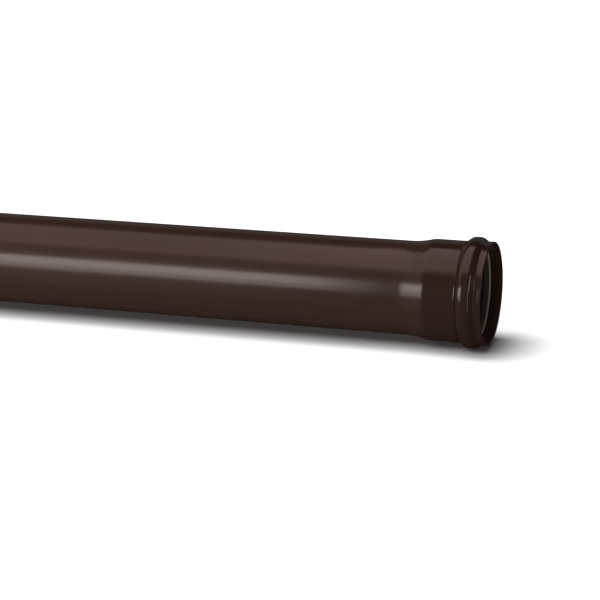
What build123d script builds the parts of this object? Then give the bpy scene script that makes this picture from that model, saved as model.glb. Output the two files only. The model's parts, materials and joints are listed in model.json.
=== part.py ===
"""Soil pipe of 110 mm with a ring-seal socket formed on one end, and the rubber ring in that socket.

Millimetres, +Z up. The pipe lies along X, with the mouth of its socket toward +X. The origin is on
the axis at the root of the socket, where the end of a pushed-in pipe stops.

The wall is one sheet of even thickness that bends outward twice: at the flare, to make room for the
next pipe, and at the bead, to make room for the ring. Each bend radius is given on the hollow side
of its bend, and the other side of the wall adds the thickness.
"""
import os
from math import atan2, hypot, tan

from build123d import *

# Barrel
pipe_outer_radius = 55.0
pipe_wall = 3.5
laying_length = 3000.0

# Chamfer of the plain end
chamfer_length = 6.0
chamfer_depth = 1.6

# Flare from the barrel to the socket
flare_length = 16.5
flare_rear_bend = 40.0
flare_front_bend = 22.0

# Socket, with room round the next pipe
socket_clearance = 0.6
socket_bore_length = 35.0

# Bead, with the groove for the ring inside it
groove_depth = 5.5
groove_crown_length = 7.2
groove_flank_length = 6.8
groove_crown_bend = 5.6
groove_foot_bend = 2.5

# Lip in front of the bead, straight at first, then widening toward the mouth
lip_relief = 0.85
lip_straight_length = 1.4
lip_flare = 0.4
lip_flare_length = 5.0
lip_flare_bend = 12.0
rim_rounding = 0.8

# Ring seal, drawn as a pushed-in pipe presses its lip back
seal_clearance = 0.3
seal_front_clearance = 1.5
seal_lip_stand = 0.2
seal_lip_thickness = 1.4
seal_lip_length = 5.0
seal_nose_stand = 0.9
seal_nose_length = 3.0
seal_slit = 1.2
seal_rounding = 0.4

# Radii worked out from the values above
pipe_bore_radius = pipe_outer_radius - pipe_wall
socket_bore_radius = pipe_outer_radius + socket_clearance
groove_radius = socket_bore_radius + groove_depth
lip_root_radius = socket_bore_radius + lip_relief
mouth_radius = lip_root_radius + lip_flare

# Stations along the axis, from the plain end to the mouth
flare_turn = atan2(socket_bore_radius - pipe_bore_radius, flare_length)
rear_flank_turn = atan2(groove_depth, groove_flank_length)
front_flank_turn = atan2(groove_radius - lip_root_radius, groove_flank_length)
lip_turn = atan2(lip_flare, lip_flare_length)
foot_radius = groove_foot_bend + pipe_wall
lip_bend_radius = lip_flare_bend + pipe_wall
spigot_x = -laying_length
flare_front_x = -flare_front_bend * tan(flare_turn / 2)
flare_rear_x = flare_front_x - flare_length
groove_rear_x = socket_bore_length + foot_radius * tan(rear_flank_turn / 2)
crown_rear_x = groove_rear_x + groove_flank_length
crown_front_x = crown_rear_x + groove_crown_length
groove_front_x = crown_front_x + groove_flank_length
lip_straight_x = groove_front_x + foot_radius * tan(front_flank_turn / 2)
lip_flare_x = lip_straight_x + lip_straight_length + lip_bend_radius * tan(lip_turn / 2)
mouth_x = lip_flare_x + lip_flare_length


def turned(profile):
    """Turns a flat outline, drawn as (x, radius), about the pipe's axis."""
    return revolve(Plane.XZ * profile, Axis.X)


def wall_profile():
    """Section of the wall: the inside line, thickened outward, sawn square at the mouth."""
    sawn_off = pipe_wall
    inside = FilletPolyline(
        (spigot_x, pipe_bore_radius),
        (flare_rear_x, pipe_bore_radius),
        (flare_front_x, socket_bore_radius),
        (groove_rear_x, socket_bore_radius),
        (crown_rear_x, groove_radius),
        (crown_front_x, groove_radius),
        (groove_front_x, lip_root_radius),
        (lip_flare_x, lip_root_radius),
        (mouth_x + sawn_off, mouth_radius + sawn_off * lip_flare / lip_flare_length),
        radius=[
            flare_rear_bend + pipe_wall,
            flare_front_bend,
            foot_radius,
            groove_crown_bend,
            groove_crown_bend,
            foot_radius,
            lip_bend_radius,
        ],
    )
    wall = make_face(offset(inside, pipe_wall, side=Side.LEFT))
    wall = split(wall, Plane.YZ.offset(mouth_x), keep=Keep.BOTTOM)
    chamfer_waste = Polyline(
        (spigot_x, pipe_outer_radius - chamfer_depth),
        (spigot_x + chamfer_length, pipe_outer_radius),
        (spigot_x, pipe_outer_radius),
        close=True,
    )
    wall = wall - make_face(chamfer_waste)
    rim_corners = wall.vertices().group_by(Axis.X)[-1]
    return fillet(rim_corners, rim_rounding)


def seal_profile():
    """Section of the ring: a body that fills the groove, a nose at its front and a lip behind the nose."""
    crown_radius = groove_radius - seal_clearance
    nose_radius = lip_root_radius - seal_nose_stand
    lip_radius = socket_bore_radius - seal_lip_stand
    body_radius = nose_radius + seal_lip_thickness + seal_slit

    def rear_x(radius):
        """Place of the ring's rear side at a radius, clear of the groove's rear flank."""
        slope = groove_flank_length / (groove_radius - socket_bore_radius)
        return groove_rear_x + (radius - socket_bore_radius) * slope + seal_clearance * hypot(1, slope)

    def front_x(radius):
        """Place of the ring's front side at a radius, clear of the groove's front flank."""
        slope = groove_flank_length / (groove_radius - lip_root_radius)
        return groove_front_x - (radius - lip_root_radius) * slope - seal_front_clearance * hypot(1, slope)

    nose_x = front_x(body_radius)
    lip_root_x = nose_x - seal_nose_length
    lip_tip_x = lip_root_x - seal_lip_length
    crown_corners = [
        (rear_x(crown_radius), crown_radius),
        (front_x(crown_radius), crown_radius),
    ]
    free_corners = [
        (nose_x, body_radius),
        (nose_x, nose_radius),
        (lip_tip_x, lip_radius),
        (lip_tip_x, lip_radius + seal_lip_thickness),
        (lip_root_x, nose_radius + seal_lip_thickness),
        (lip_root_x, body_radius),
        (rear_x(body_radius), body_radius),
    ]
    crown_bends = [groove_crown_bend - seal_clearance] * len(crown_corners)
    free_bends = [seal_rounding] * len(free_corners)
    outline = FilletPolyline(crown_corners + free_corners, radius=crown_bends + free_bends, close=True)
    return make_face(outline)


os.makedirs("parts", exist_ok=True)
export_step(turned(wall_profile()), "parts/pipe.step")
export_step(turned(seal_profile()), "parts/ring_seal.step")
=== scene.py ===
"""Looks of the soil pipe: its glossy brown wall, the rubber ring in its socket, and a plain pale studio.

Metres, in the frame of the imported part: the pipe lies along X with its mouth toward +X, +Z is up, and the
origin is on the axis at the root of the socket. Lengths below are written in millimetres times MM.
"""

import json
from math import atan2, cos, hypot, pi, radians, sin, tan

import bpy
import numpy as np
from mathutils import Matrix, Vector


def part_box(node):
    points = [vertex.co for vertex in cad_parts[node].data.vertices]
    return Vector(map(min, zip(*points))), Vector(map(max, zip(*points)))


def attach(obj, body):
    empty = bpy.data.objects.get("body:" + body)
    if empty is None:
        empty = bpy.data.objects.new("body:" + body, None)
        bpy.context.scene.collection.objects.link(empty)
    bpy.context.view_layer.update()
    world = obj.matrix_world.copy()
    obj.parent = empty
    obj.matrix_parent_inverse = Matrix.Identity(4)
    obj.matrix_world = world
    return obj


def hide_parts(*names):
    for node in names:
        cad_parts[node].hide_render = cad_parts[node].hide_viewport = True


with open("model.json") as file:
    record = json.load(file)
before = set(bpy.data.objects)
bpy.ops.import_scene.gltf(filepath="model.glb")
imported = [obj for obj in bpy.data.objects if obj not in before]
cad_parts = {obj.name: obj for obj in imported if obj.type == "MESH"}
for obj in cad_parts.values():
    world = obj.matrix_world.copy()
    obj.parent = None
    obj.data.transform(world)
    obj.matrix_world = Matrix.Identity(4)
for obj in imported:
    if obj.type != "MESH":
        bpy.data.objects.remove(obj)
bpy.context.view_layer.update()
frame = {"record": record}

MM = 0.001

# Sizes read from the frame
mounts = {mount["name"]: mount["dims"] for mount in frame["record"]["mounts"]}
pipe_radius = mounts["spigot"]["r_mm"] * MM
socket_radius = mounts["socket"]["r_mm"] * MM
socket_depth = mounts["socket"]["length_mm"] * MM
pipe_low, pipe_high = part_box("pipe")
spigot_x = pipe_low.x
mouth_x = pipe_high.x
bead_radius = pipe_high.z

# Wall and its bends, each bend on the hollow side
wall = 3.5 * MM
chamfer_length = 6.0 * MM
chamfer_depth = 1.6 * MM
flare_length = 16.5 * MM
flare_rear_bend = 100.0 * MM
flare_front_bend = 22.0 * MM
groove_crown_length = 7.2 * MM
groove_flank_length = 6.8 * MM
groove_crown_bend = 5.6 * MM
groove_foot_bend = 2.5 * MM
lip_relief = 0.85 * MM
lip_flare = 0.4 * MM
lip_flare_length = 5.0 * MM
lip_flare_bend = 12.0 * MM
rim_rounding = 0.8 * MM
sawn_edge_rounding = 0.3 * MM

# Ring seal
seal_clearance = 0.3 * MM
seal_front_clearance = 1.5 * MM
seal_lip_stand = 0.2 * MM
seal_lip_thickness = 1.4 * MM
seal_lip_length = 5.0 * MM
seal_nose_stand = 0.9 * MM
seal_nose_length = 3.0 * MM
seal_slit = 1.2 * MM
seal_rounding = 0.4 * MM

# Stations and radii worked out from the sizes above
pipe_bore = pipe_radius - wall
groove_radius = bead_radius - wall
groove_depth = groove_radius - socket_radius
lip_root_radius = socket_radius + lip_relief
mouth_radius = lip_root_radius + lip_flare
flare_turn = atan2(socket_radius - pipe_bore, flare_length)
flank_turn = atan2(groove_depth, groove_flank_length)
foot_radius = groove_foot_bend + wall
flare_front_x = -flare_front_bend * tan(flare_turn / 2)
flare_rear_x = flare_front_x - flare_length
groove_rear_x = socket_depth + foot_radius * tan(flank_turn / 2)
crown_rear_x = groove_rear_x + groove_flank_length
crown_front_x = crown_rear_x + groove_crown_length
groove_front_x = crown_front_x + groove_flank_length

# Fineness of the meshes
turn_steps = 240
bend_steps = 12
edge_guard = 0.2 * MM
ring_spacing = 60.0 * MM


# Surfaces
def put_in_scene(name, data):
    """A new object in the scene."""
    made = bpy.data.objects.new(name, data)
    bpy.context.scene.collection.objects.link(made)
    return made


def thickened(corners, bends, depth):
    """Corners and bends of the line that runs beside an open line at a depth to its left.

    Each inner corner moves along the line that halves its turn, by the depth over the cosine of half of it.
    A bend that turns left gets tighter by the depth, and one that turns right gets wider. The two ends move
    straight outward in radius.
    """
    legs = np.diff(corners, axis=0)
    headings = np.arctan2(legs[:, 1], legs[:, 0])
    middle = (headings[:-1] + headings[1:]) / 2
    half_turn = (headings[1:] - headings[:-1]) / 2
    normals = np.stack([-np.sin(middle), np.cos(middle)], axis=1)
    moved = corners.copy()
    moved[1:-1] += normals * (depth / np.cos(half_turn))[:, None]
    moved[[0, -1], 1] += depth / np.cos(headings[[0, -1]])
    return moved, bends - np.sign(half_turn) * depth


def rounded_loop(corners, bends):
    """Closed outline of a polygon whose corners are arcs.

    Each arc touches both legs of its corner at the bend radius over the tangent of half the corner's angle.
    Its points turn evenly about the arc's centre, as a blend of the directions to its two ends. A guard point
    lies on each leg just off the arc, so that a long leg keeps its own shading.
    """
    back = np.roll(corners, 1, axis=0) - corners
    ahead = np.roll(corners, -1, axis=0) - corners
    back /= np.linalg.norm(back, axis=1, keepdims=True)
    ahead /= np.linalg.norm(ahead, axis=1, keepdims=True)
    half_angle = np.arccos(np.sum(back * ahead, axis=1)) / 2
    reach = (bends / np.tan(half_angle))[:, None]
    bisector = back + ahead
    bisector /= np.linalg.norm(bisector, axis=1, keepdims=True)
    centres = corners + bisector * (bends / np.sin(half_angle))[:, None]
    starts = corners + back * reach
    ends = corners + ahead * reach
    sweep = (pi - 2 * half_angle)[:, None, None]
    share = np.linspace(0, 1, bend_steps)[None, :, None]
    from_start = np.sin((1 - share) * sweep) * (starts - centres)[:, None]
    from_end = np.sin(share * sweep) * (ends - centres)[:, None]
    arcs = centres[:, None] + (from_start + from_end) / np.sin(sweep)
    guards_before = (starts + back * edge_guard)[:, None]
    guards_after = (ends + ahead * edge_guard)[:, None]
    return np.concatenate([guards_before, arcs, guards_after], axis=1).reshape(-1, 2)


def with_rings(outline):
    """The outline with points added at even steps of its length on any leg longer than the ring spacing."""
    closed = np.vstack([outline, outline[:1]])
    steps = np.linalg.norm(np.diff(closed, axis=0), axis=1)
    lengths = np.concatenate([[0], np.cumsum(steps)])
    even = np.arange(0, lengths[-1], ring_spacing)
    leg = np.searchsorted(lengths, even, side="right") - 1
    added = even[steps[leg] > ring_spacing]
    stations = np.union1d(lengths[:-1], added)
    return np.stack([np.interp(stations, lengths, closed[:, k]) for k in (0, 1)], axis=1)


def turned_piece(name, outline):
    """Mesh piece of a closed (x, radius) outline carried round the X axis.

    Point (s, t) is at x(s), radius(s) cos t, radius(s) sin t. Both parameters come back to their start, so
    the surface closes on itself without poles.
    """
    angles = np.arange(turn_steps) * (2 * pi / turn_steps)
    x, radius = outline[:, :1], outline[:, 1:]
    points = np.stack(np.broadcast_arrays(x, radius * np.cos(angles), radius * np.sin(angles)), axis=2)
    rows, columns = points.shape[:2]
    grid = np.arange(rows * columns).reshape(rows, columns)
    along = np.roll(grid, -1, axis=0)
    around = np.roll(grid, -1, axis=1)
    across = np.roll(along, -1, axis=1)
    quads = np.stack([grid, along, across, around], axis=2).reshape(-1, 4)
    mesh = bpy.data.meshes.new(name)
    mesh.vertices.add(rows * columns)
    mesh.vertices.foreach_set("co", points.astype(np.float32).ravel())
    mesh.loops.add(quads.size)
    mesh.loops.foreach_set("vertex_index", quads.astype(np.int32).ravel())
    mesh.polygons.add(len(quads))
    mesh.polygons.foreach_set("loop_start", np.arange(0, quads.size, 4, dtype=np.int32))
    mesh.polygons.foreach_set("use_smooth", np.ones(len(quads), dtype=bool))
    mesh.update(calc_edges=True)
    return put_in_scene(name, mesh)


def wall_outline():
    """Section of the pipe's wall.

    It is the inside line and its copy a wall's thickness outside, joined by the sawn mouth and the chamfered
    plain end.
    """
    inside = np.array([
        (spigot_x, pipe_bore),
        (flare_rear_x, pipe_bore),
        (flare_front_x, socket_radius),
        (groove_rear_x, socket_radius),
        (crown_rear_x, groove_radius),
        (crown_front_x, groove_radius),
        (groove_front_x, lip_root_radius),
        (mouth_x - lip_flare_length, lip_root_radius),
        (mouth_x, mouth_radius),
    ])
    inside_bends = np.array([
        flare_rear_bend + wall,
        flare_front_bend,
        foot_radius,
        groove_crown_bend,
        groove_crown_bend,
        foot_radius,
        lip_flare_bend + wall,
    ])
    outside, outside_bends = thickened(inside, inside_bends, wall)
    chamfer = np.array([
        (spigot_x + chamfer_length, pipe_radius),
        (spigot_x, pipe_radius - chamfer_depth),
    ])
    corners = np.vstack([inside, outside[:0:-1], chamfer])
    bends = np.concatenate([
        [sawn_edge_rounding],
        inside_bends,
        [rim_rounding, rim_rounding],
        outside_bends[::-1],
        [sawn_edge_rounding, sawn_edge_rounding],
    ])
    return with_rings(rounded_loop(corners, bends))


def seal_rear_x(radius):
    """Place of the ring's rear side at a radius, clear of the groove's rear flank."""
    slope = groove_flank_length / groove_depth
    return groove_rear_x + (radius - socket_radius) * slope + seal_clearance * hypot(1, slope)


def seal_front_x(radius):
    """Place of the ring's front side at a radius, clear of the groove's front flank."""
    slope = groove_flank_length / (groove_radius - lip_root_radius)
    return groove_front_x - (radius - lip_root_radius) * slope - seal_front_clearance * hypot(1, slope)


seal_nose_radius = lip_root_radius - seal_nose_stand
seal_body_radius = seal_nose_radius + seal_lip_thickness + seal_slit
seal_nose_x = seal_front_x(seal_body_radius)


def seal_outline():
    """Section of the ring: a body that fills the groove, a nose at its front and a lip behind the nose."""
    crown_radius = groove_radius - seal_clearance
    lip_radius = socket_radius - seal_lip_stand
    lip_root_x = seal_nose_x - seal_nose_length
    lip_tip_x = lip_root_x - seal_lip_length
    corners = np.array([
        (seal_front_x(crown_radius), crown_radius),
        (seal_rear_x(crown_radius), crown_radius),
        (seal_rear_x(seal_body_radius), seal_body_radius),
        (lip_root_x, seal_body_radius),
        (lip_root_x, seal_nose_radius + seal_lip_thickness),
        (lip_tip_x, lip_radius + seal_lip_thickness),
        (lip_tip_x, lip_radius),
        (seal_nose_x, seal_nose_radius),
        (seal_nose_x, seal_body_radius),
    ])
    bends = np.full(len(corners), seal_rounding)
    bends[:2] = groove_crown_bend - seal_clearance
    return rounded_loop(corners, bends)


# Finishes
class Wire:
    """An output socket among the nodes of a finish or a lamp. A sum of wires adds its Math nodes."""

    def __init__(self, tree, socket=None):
        self.tree = tree
        self.socket = socket

    def node(self, kind, settings=None, sockets=None, out=0):
        """Adds a node of a kind, sets its settings, fills or links its sockets, and gives one output."""
        made = self.tree.nodes.new(kind)
        for name, value in (settings or {}).items():
            setattr(made, name, value)
        for key, value in (sockets or {}).items():
            if isinstance(value, Wire):
                self.tree.links.new(value.socket, made.inputs[key])
            else:
                made.inputs[key].default_value = value
        return Wire(self.tree, made.outputs[out] if made.outputs else None)

    def outputs(self):
        """Wires from all outputs of this wire's node."""
        return [Wire(self.tree, socket) for socket in self.socket.node.outputs]

    def math(self, operation, *values):
        """A Math node of these values."""
        return self.node("ShaderNodeMath", {"operation": operation}, dict(enumerate(values)))

    def __add__(self, other):
        return self.math("ADD", self, other)

    def __sub__(self, other):
        return self.math("SUBTRACT", self, other)

    def __mul__(self, other):
        return self.math("MULTIPLY", self, other)

    def __rsub__(self, other):
        return self.math("SUBTRACT", other, self)

    __radd__ = __add__
    __rmul__ = __mul__

    def rise(self, low, high):
        """Smooth step: 0 where this wire is under low, 1 where it is over high."""
        settings = {"interpolation_type": "SMOOTHSTEP"}
        return self.node("ShaderNodeMapRange", settings, {"Value": self, "From Min": low, "From Max": high})

    def blend(self, first, second):
        """Colour that goes from the first to the second as this wire goes from 0 to 1."""
        settings = {"data_type": "RGBA"}
        return self.node("ShaderNodeMix", settings, {0: self, 6: first, 7: second}, out=2)

    def noise(self, scales, detail):
        """Noise about 0.5 over this vector wire, with its own number of features a metre along each axis."""
        stretched = self.node("ShaderNodeVectorMath", {"operation": "MULTIPLY"}, {0: self, 1: scales})
        sockets = {"Vector": stretched, "Scale": 1.0, "Detail": detail}
        return self.node("ShaderNodeTexNoise", None, sockets)


def new_material(name):
    """An empty node material and a wire to start its nodes from."""
    material = bpy.data.materials.new(name)
    material.use_nodes = True
    material.node_tree.nodes.clear()
    return material, Wire(material.node_tree)


def place_in_piece(start):
    """The place on a piece as a vector wire, and its x, y and z as values."""
    place = start.node("ShaderNodeTexCoord", out="Object")
    return place, start.node("ShaderNodeSeparateXYZ", None, {0: place}).outputs()


def finish_with(start, colour, roughness, height):
    """Ends a plastic or rubber finish: its colour, its roughness, and its height in millimetres as bump."""
    bump = start.node("ShaderNodeBump", None, {"Strength": 1.0, "Distance": MM, "Height": height})
    sockets = {"Base Color": colour, "Roughness": roughness, "IOR": 1.5, "Normal": bump}
    shader = start.node("ShaderNodeBsdfPrincipled", None, sockets)
    start.node("ShaderNodeOutputMaterial", None, {"Surface": shader})


def brown_pvc():
    """Extruded brown PVC: glossy, with matt sawn ends and painted shade darkening the crease behind the bead.

    Fine lines run along the barrel, and faint rings run round the socket, where it was formed.
    """
    material, start = new_material("brown_pvc")
    place, (x, y, z) = place_in_piece(start)
    radius = start.math("SQRT", y * y + z * z)

    streaks = place.noise((0.7, 150.0, 150.0), 3.0)
    die_lines = place.noise((1.5, 700.0, 700.0), 2.0)
    slow_waves = place.noise((14.0, 22.0, 22.0), 1.0)
    mottle = place.noise((30.0, 60.0, 60.0), 4.0)
    forming_rings = place.noise((900.0, 9.0, 9.0), 2.0)
    grain = place.noise((2600.0, 2600.0, 2600.0), 2.0)

    chamfer_x = spigot_x + chamfer_length
    formed = x.rise(flare_front_x - 6 * MM, flare_front_x + 6 * MM)
    sawn_mouth = x.rise(mouth_x - 0.25 * MM, mouth_x - 0.05 * MM)
    sawn_plain_end = 1 - x.rise(chamfer_x - 0.2 * MM, chamfer_x + 0.1 * MM)
    sawn = start.math("MAXIMUM", sawn_mouth, sawn_plain_end)
    on_outside = radius.rise(pipe_radius - 1.9 * MM, pipe_radius - 1.4 * MM)
    # Painted shade: a narrow band just behind the bead is coloured darker, where shade falls in the crease.
    crease_shade_rear = x.rise(groove_rear_x - 2.0 * MM, groove_rear_x - 0.8 * MM)
    crease_shade_front = 1 - x.rise(groove_rear_x + 0.8 * MM, groove_rear_x + 2.4 * MM)
    crease_shade = crease_shade_rear * crease_shade_front

    deep = (0.0445, 0.0243, 0.0187, 1.0)
    warm = (0.0495, 0.0272, 0.0210, 1.0)
    formed_brown = (0.036, 0.0196, 0.0151, 1.0)
    sawn_brown = (0.072, 0.045, 0.036, 1.0)
    painted_crease_shade = (0.006, 0.0035, 0.0028, 1.0)
    tone = (streaks * 0.5 + mottle * 0.5).rise(0.35, 0.65)
    colour = formed.blend(tone.blend(deep, warm), formed_brown)
    # Painted shade darkens the crease behind the bead.
    colour = (crease_shade * 0.45).blend(colour, painted_crease_shade)
    colour = (sawn * 0.8).blend(colour, sawn_brown)

    wave_height, line_height, grain_height, sawn_height = 0.05, 0.004, 0.0015, 0.02
    lines_here = 1 - 0.7 * formed
    height = slow_waves * wave_height + grain * grain_height + sawn * grain * sawn_height
    height = height + die_lines * lines_here * line_height + forming_rings * formed * line_height

    gloss = 0.20 + (streaks - 0.5) * 0.10 + (mottle - 0.5) * 0.08 - formed * 0.06
    roughness = gloss + sawn * 0.3 + (1 - on_outside) * 0.06
    finish_with(start, colour, roughness, height)
    return material


def black_rubber():
    """Moulded black rubber with a fine matt grain, a faint grey bloom and mould rings, and a painted
    highlight: its nose is coloured pale where it catches light at its front edge.
    """
    material, start = new_material("black_rubber")
    place, (x, _, _) = place_in_piece(start)

    grain = place.noise((1800.0, 1800.0, 1800.0), 3.0)
    bloom = place.noise((90.0, 120.0, 120.0), 3.0)
    mould_rings = place.noise((1100.0, 15.0, 15.0), 1.0)
    # Painted highlight: the ring's nose is coloured pale, standing for light caught on its front edge.
    nose_highlight_mask = x.rise(seal_nose_x - 1.7 * MM, seal_nose_x - 1.3 * MM)

    black = (0.048, 0.045, 0.033, 1.0)
    bloomed = (0.066, 0.062, 0.046, 1.0)
    # Pale colour of the painted highlight on the nose.
    painted_nose_highlight = (0.39, 0.34, 0.255, 1.0)
    colour = nose_highlight_mask.blend(bloom.rise(0.35, 0.7).blend(black, bloomed), painted_nose_highlight)

    height = grain * 0.012 + mould_rings * 0.02
    roughness = 0.42 + (bloom - 0.5) * 0.3
    finish_with(start, colour, roughness, height)
    return material


# Studio
floor_gap = 0.05 * MM
floor_z = -bead_radius - floor_gap
floor_radius = 60.0
floor_sides = 96
floor_white = (0.9, 0.9, 0.9, 1.0)
area_lamp_power = 4.0


def pale_floor():
    """Round pale matt floor: a polygon of points at even angles on a circle.

    Gloss doesn't mirror it, so that the pipe keeps its dark underside.
    """
    angles = np.arange(floor_sides) * (2 * pi / floor_sides)
    height = np.full(floor_sides, floor_z)
    rim = np.stack([floor_radius * np.cos(angles), floor_radius * np.sin(angles), height], axis=1)
    mesh = bpy.data.meshes.new("pale_floor")
    mesh.from_pydata(rim.tolist(), [], [list(range(floor_sides))])
    floor = put_in_scene("pale_floor", mesh)
    material, start = new_material("pale_floor")
    matt = start.node("ShaderNodeBsdfDiffuse", None, {"Color": floor_white})
    start.node("ShaderNodeOutputMaterial", None, {"Surface": matt})
    floor.data.materials.append(material)
    floor.visible_glossy = False
    floor.visible_diffuse = False
    floor.visible_shadow = False
    return floor


def floor_lamp(name, elevation, to_the_left, width, strength):
    """Distant round lamp that lights only the floor, so that it is white and keeps the pipe's shadow.

    Angles are in degrees. The angle to the left is 0 in front of the pipe and 90 toward its plain end.
    """
    lamp = bpy.data.lights.new(name, "SUN")
    lamp.angle = radians(width)
    lamp.energy = strength
    lamp_object = put_in_scene(name, lamp)
    lamp_object.rotation_euler = (radians(90 - elevation), 0, -radians(to_the_left))
    lamp_object.light_linking.receiver_collection = lit_by_floor_lamps


def polar(distance, elevation):
    """Point at a distance from the pipe's axis, at x = 0 and at an elevation in degrees.

    The elevation starts in front of the pipe and goes over its top.
    """
    return Vector((0, -distance * cos(radians(elevation)), distance * sin(radians(elevation))))


def fade(lamp, soft_edge):
    """Makes an area lamp fade out toward its first edge, over a share of its width."""
    lamp.use_nodes = True
    lamp.node_tree.nodes.clear()
    start = Wire(lamp.node_tree)
    place = start.node("ShaderNodeTexCoord", out="UV")
    across_share = start.node("ShaderNodeSeparateXYZ", None, {0: place}, out="Y")
    glow = start.node("ShaderNodeEmission", None, {"Strength": across_share.rise(0.0, soft_edge)})
    start.node("ShaderNodeOutputLight", None, {"Surface": glow})


def softbox(name, distance, elevations, x_range, radiance, colour, soft_edge=0.0):
    """Area lamp for the pipe alone, between two edges that run along X, the one nearer the camera first.

    The edges lie at one distance from the axis, at their elevations. The lamp shines toward the pipe. Its
    power is its radiance times its area times the power that one square metre of radiance 1 has.
    """
    first, second = (polar(distance, elevation) for elevation in elevations)
    along, across = Vector((1, 0, 0)), second - first
    lamp = bpy.data.lights.new(name, "AREA")
    lamp.shape = "RECTANGLE"
    lamp.size = x_range[1] - x_range[0]
    lamp.size_y = across.length
    lamp.energy = area_lamp_power * radiance * lamp.size * lamp.size_y
    lamp.color = colour
    if soft_edge:
        fade(lamp, soft_edge)
    across.normalize()
    turn = Matrix((along, across, along.cross(across))).transposed()
    lamp_object = put_in_scene(name, lamp)
    lamp_object.rotation_mode = "QUATERNION"
    lamp_object.rotation_quaternion = turn.to_quaternion()
    lamp_object.location = (first + second) / 2 + along * sum(x_range) / 2
    lamp_object.visible_camera = False
    lamp_object.light_linking.receiver_collection = lit_by_softboxes


def dim_room(level, lean, toward):
    """White background, and dim light from all round, stronger by the lean toward one side.

    Gloss doesn't mirror it.
    """
    world = bpy.data.worlds.new("dim_room")
    world.use_nodes = True
    world.node_tree.nodes.clear()
    start = Wire(world.node_tree)
    direction = start.node("ShaderNodeTexCoord", out="Generated")
    dot = {"operation": "DOT_PRODUCT"}
    side = start.node("ShaderNodeVectorMath", dot, {0: direction, 1: toward}, out="Value")
    rays = start.node("ShaderNodeLightPath").socket.node.outputs
    kinds = ("Is Camera Ray", "Is Glossy Ray", "Is Transmission Ray")
    camera, gloss, glass = (Wire(start.tree, rays[kind]) for kind in kinds)
    seen = start.math("MAXIMUM", camera, start.math("MAXIMUM", gloss, glass))
    dim = start.math("MAXIMUM", level + lean * side, 0.0)
    sockets = {"Color": (1.0, 1.0, 1.0, 1.0), "Strength": seen + (1 - seen) * dim}
    background = start.node("ShaderNodeBackground", None, sockets)
    start.node("ShaderNodeOutputWorld", None, {"Surface": background})
    world.cycles_visibility.glossy = False
    bpy.context.scene.world = world


def photo_camera():
    """Camera at the photograph's viewing angle, aimed at a point just under the pipe's axis."""
    aim = Vector((-165.5, 0.0, -25.15)) * MM
    azimuth, elevation = radians(18.355), radians(13.747)
    distance = 2288.6 * MM
    back = Vector((sin(azimuth) * cos(elevation), -cos(azimuth) * cos(elevation), sin(elevation)))
    lens = bpy.data.cameras.new("photo_camera")
    lens.lens = 115.32
    lens.sensor_width = 36.0
    camera = put_in_scene("photo_camera", lens)
    camera.location = aim + back * distance
    camera.rotation_mode = "QUATERNION"
    camera.rotation_quaternion = (-back).to_track_quat("-Z", "Y")
    bpy.context.scene.camera = camera


def dressed(node, outline, material):
    """The piece that stands for a CAD node, with its finish."""
    piece = turned_piece(node + "_surface", outline)
    piece.data.materials.append(material)
    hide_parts(node)
    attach(piece, "root")
    return piece


lit_by_softboxes = bpy.data.collections.new("lit_by_softboxes")
lit_by_softboxes.objects.link(dressed("pipe", wall_outline(), brown_pvc()))
lit_by_softboxes.objects.link(dressed("ring_seal", seal_outline(), black_rubber()))
lit_by_floor_lamps = bpy.data.collections.new("lit_by_floor_lamps")
lit_by_floor_lamps.objects.link(pale_floor())
floor_lamp("front_floor_lamp", elevation=53, to_the_left=40, width=60, strength=2.3)
floor_lamp("left_floor_lamp", elevation=70, to_the_left=95, width=40, strength=2.3)

# Softboxes: distance, elevations of both edges, reach along the pipe, radiance, colour and soft edge
near, middle, far = 1.2, 1.3, 1.5
strip_reach = (-2.9, -0.433)
strip_white = (1.0, 0.89, 0.84)
softbox("top_softbox", far, (52, 112), (-3.2, -0.65), 0.60, (1.0, 0.77, 0.66))
softbox("middle_softbox", far, (44, 112), (-0.65, -0.42), 0.79, (1.0, 0.74, 0.665), soft_edge=0.28)
softbox("socket_softbox", far, (44, 119), (-0.42, 0.3), 0.85, (1.0, 0.70, 0.64), soft_edge=0.28)
softbox("front_strip", near, (4.5, 22.5), strip_reach, 3.2, strip_white)
softbox("low_strip", near, (-7.0, 4.5), strip_reach, 1.95, strip_white)
softbox("front_fill", middle, (-40, 47), strip_reach, 0.12, (1.0, 0.86, 0.8))
softbox("side_strip", far, (14, 54), (1.36, 1.62), 4.5, strip_white)
softbox("low_side_strip", far, (-40, 14), (0.98, 1.15), 2.7, strip_white, soft_edge=0.5)
softbox("back_softbox", far, (142, 168), (-3.2, 1.3), 0.09, (1.0, 0.93, 0.85))
softbox("back_strip", near, (170, 192), (-2.9, -1.6), 2.4, strip_white)
dim_room(level=0.32, lean=0.27, toward=(-0.8, -0.4, -0.89))
photo_camera()
bpy.context.scene.view_settings.view_transform = "Standard"
